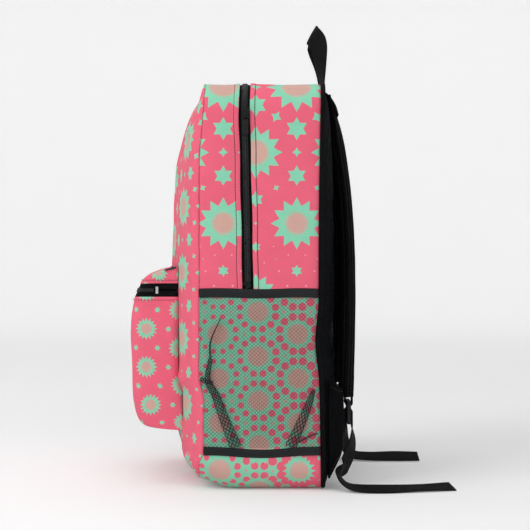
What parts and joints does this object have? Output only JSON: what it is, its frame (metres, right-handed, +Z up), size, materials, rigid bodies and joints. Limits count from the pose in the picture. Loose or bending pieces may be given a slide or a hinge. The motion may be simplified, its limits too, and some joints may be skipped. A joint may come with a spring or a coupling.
{
  "type": "school backpack",
  "caption": "School backpack with a star-print body, black padded back and straps, zipped main compartment and front pocket, and mesh bottle pockets.",
  "frame": {"origin": "on the floor, under the middle of the bag's base", "axes": "+Z up, -Y out of the bag's front, +Y out of its padded back, +X towards the right-hand bottle pocket"},
  "size_m": [0.325, 0.3719, 0.5498],
  "materials": {
    "star_print": "pink woven polyester with a printed pattern of green and beige stars",
    "dense_star_print": "green woven polyester with closely spaced beige discs and pink dots",
    "black_fabric": "plain black woven polyester",
    "black_webbing": "black ribbed woven webbing",
    "black_net": "black open mesh",
    "zip_tape": "black zip tape with a nylon coil",
    "black_metal": "black lacquer",
    "steel_stop": "bare steel",
    "black_plastic": "moulded black plastic",
    "foam": "open-cell padding foam",
    "lining": "dark woven lining",
    "base_board": "stiff plastic board"
  },
  "bodies": {
    "bag_body": {"side_and_base_gusset": "dense_star_print", "zip_gusset_rear": "star_print", "main_zip_tape_rear": "zip_tape", "main_zip_stop_right": "steel_stop", "main_zip_stop_left": "steel_stop", "front_panel_lower": "star_print", "front_pocket_shell": "star_print", "front_pocket_hood": "star_print", "pocket_zip_tape_lower": "zip_tape", "pocket_zip_tape_upper": "zip_tape", "pocket_zip_stop_right": "steel_stop", "pocket_zip_stop_left": "steel_stop", "back_panel_cover": "black_fabric", "back_panel_foam": "foam", "back_panel_lining": "lining", "strap_yoke": "black_fabric", "laptop_sleeve": "lining", "inner_slip_pocket": "lining", "base_board": "base_board", "bottle_pocket_net_right": "black_net", "bottle_pocket_band_right": "black_webbing", "bottle_pocket_hem_right": "black_webbing", "bottle_pocket_net_left": "black_net", "bottle_pocket_band_left": "black_webbing", "bottle_pocket_hem_left": "black_webbing", "adjuster_webbing_right": "black_webbing", "adjuster_webbing_left": "black_webbing", "strap_wing_right": "black_fabric", "strap_wing_left": "black_fabric"},
    "main_flap": {"front_panel_upper": "star_print", "zip_gusset_front": "star_print", "main_zip_tape_front": "zip_tape"},
    "main_slider_right": {"main_slider_right": "black_metal"},
    "main_slider_left": {"main_slider_left": "black_metal"},
    "main_pull_right": {"main_pull_right": "black_metal"},
    "main_pull_left": {"main_pull_left": "black_metal"},
    "pocket_slider": {"pocket_slider": "black_metal"},
    "pocket_pull": {"pocket_pull": "black_metal"},
    "carry_handle": {"carry_handle": "black_webbing"},
    "sleeve_strap": {"sleeve_closure_strap": "black_webbing"},
    "shoulder_strap_right": {"strap_face_right": "black_fabric", "strap_foam_right": "foam", "strap_liner_right": "black_net", "strap_end_loop_right": "black_webbing"},
    "shoulder_strap_left": {"strap_face_left": "black_fabric", "strap_foam_left": "foam", "strap_liner_left": "black_net", "strap_end_loop_left": "black_webbing"},
    "ladder_lock_right": {"ladder_lock_right": "black_plastic", "adjuster_wrap_right": "black_webbing"},
    "ladder_lock_left": {"ladder_lock_left": "black_plastic", "adjuster_wrap_left": "black_webbing"},
    "strap_tail_right": {"strap_tail_right": "black_webbing"},
    "strap_tail_left": {"strap_tail_left": "black_webbing"}
  },
  "joints": [
    {"name": "main_flap", "type": "hinge", "parent": "bag_body", "child": "main_flap", "pos_m": [0, -0.1105, 0.2618], "axis": [1, 0, 0], "range_deg": [0, 40]},
    {"name": "main_slider_right", "type": "slide", "parent": "bag_body", "child": "main_slider_right", "axis": [0, 0, -1], "range_m": [0, 0.18]},
    {"name": "main_slider_left", "type": "slide", "parent": "bag_body", "child": "main_slider_left", "axis": [0, 0, -1], "range_m": [0, 0.18]},
    {"name": "main_pull_right", "type": "hinge", "parent": "main_slider_right", "child": "main_pull_right", "pos_m": [0.1538, -0.017, 0.426], "axis": [0, -1, 0], "range_deg": [0, 95]},
    {"name": "main_pull_left", "type": "hinge", "parent": "main_slider_left", "child": "main_pull_left", "pos_m": [-0.1538, -0.017, 0.426], "axis": [0, 1, 0], "range_deg": [0, 95]},
    {"name": "pocket_slider", "type": "slide", "parent": "bag_body", "child": "pocket_slider", "axis": [1, 0, 0], "range_m": [0, 0.132]},
    {"name": "pocket_pull", "type": "hinge", "parent": "pocket_slider", "child": "pocket_pull", "pos_m": [-0.066, -0.15032, 0.22749], "axis": [0, -0.4044, -0.9146], "range_deg": [0, 95]},
    {"name": "carry_handle", "type": "hinge", "parent": "bag_body", "child": "carry_handle", "pos_m": [0, 0.0745, 0.4666], "axis": [1, 0, 0], "range_deg": [-30, 55], "stiffness_Nm_per_rad": 0.05},
    {"name": "sleeve_strap", "type": "hinge", "parent": "bag_body", "child": "sleeve_strap", "pos_m": [0, 0.0628, 0.356], "axis": [-1, 0, 0], "range_deg": [0, 50]},
    {"name": "shoulder_strap_right", "type": "hinge", "parent": "bag_body", "child": "shoulder_strap_right", "pos_m": [0.06, 0.08, 0.4535], "axis": [1, 0, 0], "range_deg": [0, 25], "stiffness_Nm_per_rad": 0.3},
    {"name": "shoulder_strap_left", "type": "hinge", "parent": "bag_body", "child": "shoulder_strap_left", "pos_m": [-0.06, 0.08, 0.4535], "axis": [1, 0, 0], "range_deg": [0, 25], "stiffness_Nm_per_rad": 0.3},
    {"name": "ladder_lock_right", "type": "hinge", "parent": "shoulder_strap_right", "child": "ladder_lock_right", "pos_m": [0.098, 0.102, 0.0955], "axis": [1, 0, 0], "range_deg": [0, 25], "stiffness_Nm_per_rad": 0.01},
    {"name": "ladder_lock_left", "type": "hinge", "parent": "shoulder_strap_left", "child": "ladder_lock_left", "pos_m": [-0.098, 0.102, 0.0955], "axis": [1, 0, 0], "range_deg": [0, 25], "stiffness_Nm_per_rad": 0.01},
    {"name": "strap_tail_right", "type": "hinge", "parent": "ladder_lock_right", "child": "strap_tail_right", "pos_m": [0.098, 0.106, 0.0711], "axis": [1, 0, 0], "range_deg": [-25.5, 0.5]},
    {"name": "strap_tail_left", "type": "hinge", "parent": "ladder_lock_left", "child": "strap_tail_left", "pos_m": [-0.098, 0.106, 0.0711], "axis": [1, 0, 0], "range_deg": [-25.5, 0.5]}
  ],
  "couplings": [
    {"joint": "main_slider_right", "follows": "main_flap", "m_per_rad": 0.2575},
    {"joint": "main_slider_left", "follows": "main_flap", "m_per_rad": 0.2575},
    {"joint": "strap_tail_right", "follows": "shoulder_strap_right", "ratio": -1},
    {"joint": "strap_tail_left", "follows": "shoulder_strap_left", "ratio": -1}
  ]
}
